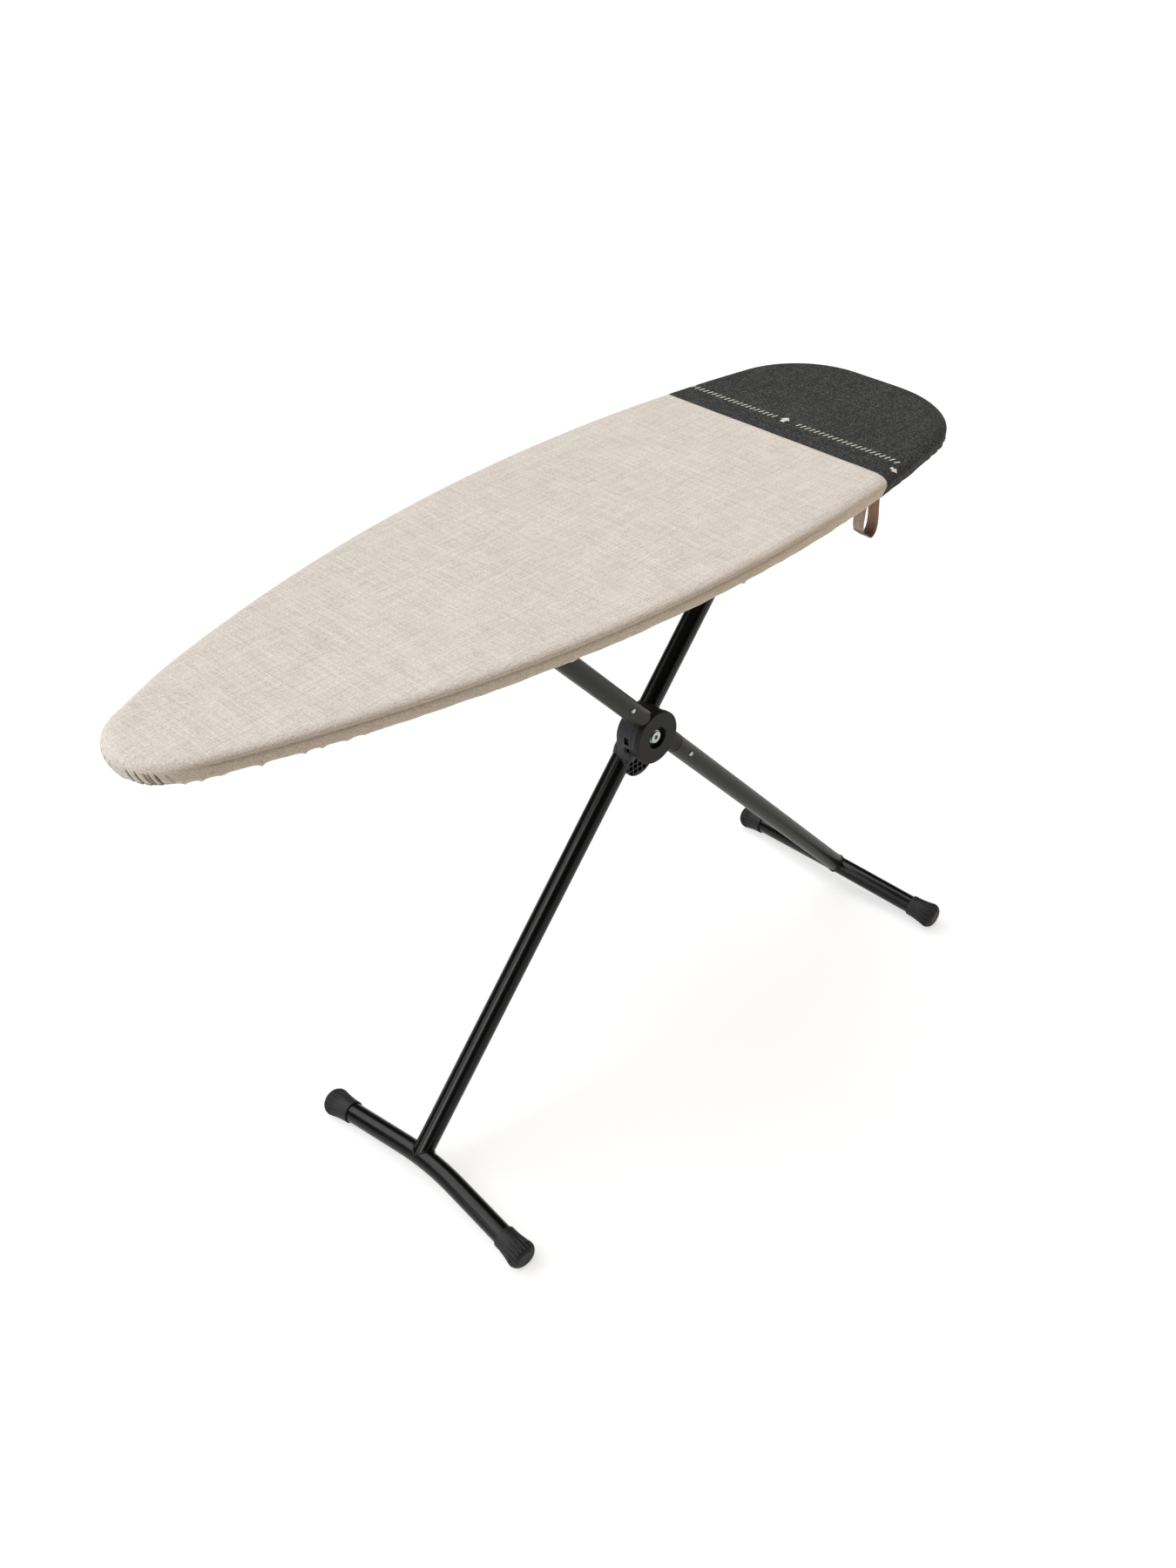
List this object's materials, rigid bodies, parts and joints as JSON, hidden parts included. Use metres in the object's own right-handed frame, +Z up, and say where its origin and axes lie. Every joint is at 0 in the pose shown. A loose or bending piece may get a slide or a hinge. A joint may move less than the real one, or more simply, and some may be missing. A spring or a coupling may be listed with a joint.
{
  "type": "ironing board",
  "caption": "Standing ironing board: tapering padded top with a fabric cover and a dark heat zone, on crossed T-legs that turn on a disc hinge and fold flat under the top.",
  "frame": {"origin": "on the floor, under the middle of the bounding box of the standing board", "axes": "+X along the board to its square end, +Y across the board away from the pull strap, +Z up"},
  "size_m": [1.3601, 0.4562, 0.98],
  "materials": {
    "cover_fabric": "matte beige melange weave",
    "heat_fabric": "matte charcoal coated weave",
    "elastic_band": "woven elastic",
    "pad_foam": "open cell foam",
    "top_steel": "satin powder coat",
    "zinc_steel": "bright zinc",
    "black_paint": "satin black powder coat",
    "charcoal_paint": "satin charcoal powder coat",
    "foot_rubber": "matte moulded rubber",
    "black_nylon": "moulded, fine grain",
    "charcoal_nylon": "moulded, satin",
    "strap_leather": "soft matte strip"
  },
  "bodies": {
    "board": {"cover_main": "cover_fabric", "heat_panel": "heat_fabric", "hem_elastic": "elastic_band", "foam_pad": "pad_foam", "top_plate": "top_steel", "rim_band": "top_steel", "front_brace": "top_steel", "middle_brace": "top_steel", "rear_brace": "top_steel", "slide_rail_near": "top_steel", "slide_rail_far": "top_steel", "pivot_bracket_near": "top_steel", "pivot_bracket_far": "top_steel", "pivot_rod": "zinc_steel", "pivot_rod_clips": "zinc_steel", "comb_pin": "zinc_steel"},
    "front_leg": {"front_leg_tube": "black_paint", "front_foot_bar": "black_paint", "front_leg_sleeve": "black_paint", "front_cap_near": "foot_rubber", "front_cap_far": "foot_rubber", "front_tube_plug": "black_nylon", "hinge_saddle": "black_nylon", "pivot_bolt": "zinc_steel", "pivot_nut": "zinc_steel", "friction_washer": "black_nylon"},
    "rear_leg": {"rear_leg_tube_upper": "charcoal_paint", "rear_leg_tube_lower": "charcoal_paint", "rear_foot_bar": "black_paint", "rear_leg_sleeve": "charcoal_paint", "rear_cap_near": "foot_rubber", "rear_cap_far": "foot_rubber", "slide_axle": "zinc_steel", "slide_bushes": "black_nylon", "axle_clips": "zinc_steel", "rear_tube_plug": "black_nylon", "hinge_disc": "charcoal_nylon", "hinge_core": "black_nylon", "tube_screws": "zinc_steel"},
    "release_lever": {"locking_comb": "zinc_steel", "comb_spring": "zinc_steel", "release_rod": "black_paint", "strap_spool": "black_nylon", "pull_strap": "strap_leather"}
  },
  "joints": [
    {"name": "front_fold", "type": "hinge", "parent": "board", "child": "front_leg", "pos_m": [0.44057, 0, 0.938], "axis": [0, 1, 0], "range_deg": [0, 45.4]},
    {"name": "scissor", "type": "hinge", "parent": "front_leg", "child": "rear_leg", "pos_m": [0.1348, 0, 0.5936], "axis": [0, 1, 0], "range_deg": [-90.8, 0]},
    {"name": "release_pull", "type": "hinge", "parent": "board", "child": "release_lever", "pos_m": [-0.512, -0.043, 0.926], "axis": [0, 1, 0], "range_deg": [0, 2.4], "stiffness_Nm_per_rad": 6, "springref_deg": -22.92}
  ],
  "couplings": [
    {"joint": "scissor", "follows": "front_fold", "ratio": -2}
  ]
}
